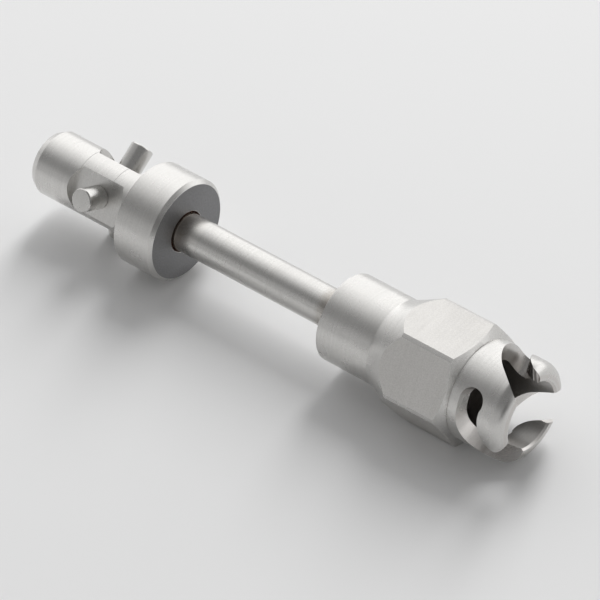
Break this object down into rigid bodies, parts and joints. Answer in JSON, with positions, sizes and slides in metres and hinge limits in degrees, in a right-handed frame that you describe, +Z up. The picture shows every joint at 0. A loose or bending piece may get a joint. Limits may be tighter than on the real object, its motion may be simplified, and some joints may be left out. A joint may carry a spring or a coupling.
{
  "type": "bit extension",
  "caption": "Steel extension for bayonet-coupled bits: a round rod with a pinned spigot at one end and a hexagonal socket with hooked claws at the other.",
  "frame": {"origin": "centre of the spigot's flat end face", "axes": "+X along the tool's axis from the spigot to the claws; +Z up, square to one face of the hexagon; +Y to the left when looking along +X; right-handed"},
  "size_m": [0.152, 0.0316, 0.028],
  "materials": {
    "satin_steel": "satin, fine turned",
    "ground_steel": "fine ground",
    "hardened_steel": "dark, hardened",
    "spring_steel": "dark, oiled",
    "braze": "dark, heat-stained"
  },
  "bodies": {
    "extension": {"spigot": "satin_steel", "bayonet_pin_1": "ground_steel", "bayonet_pin_2": "ground_steel", "bayonet_pin_3": "ground_steel", "shoulder_collar": "satin_steel", "rod": "satin_steel", "front_braze_ring": "braze", "rear_braze_ring": "braze", "claw_socket": "satin_steel", "plunger_spring": "spring_steel", "retaining_ring": "spring_steel"},
    "plunger": {"thrust_plunger": "hardened_steel"}
  },
  "joints": [
    {"name": "plunger_slide", "type": "slide", "parent": "extension", "child": "plunger", "axis": [1, 0, 0], "range_m": [-0.0038, 0], "stiffness_N_per_m": 3000, "springref_m": 0.004, "deforming": ["plunger_spring"]}
  ]
}
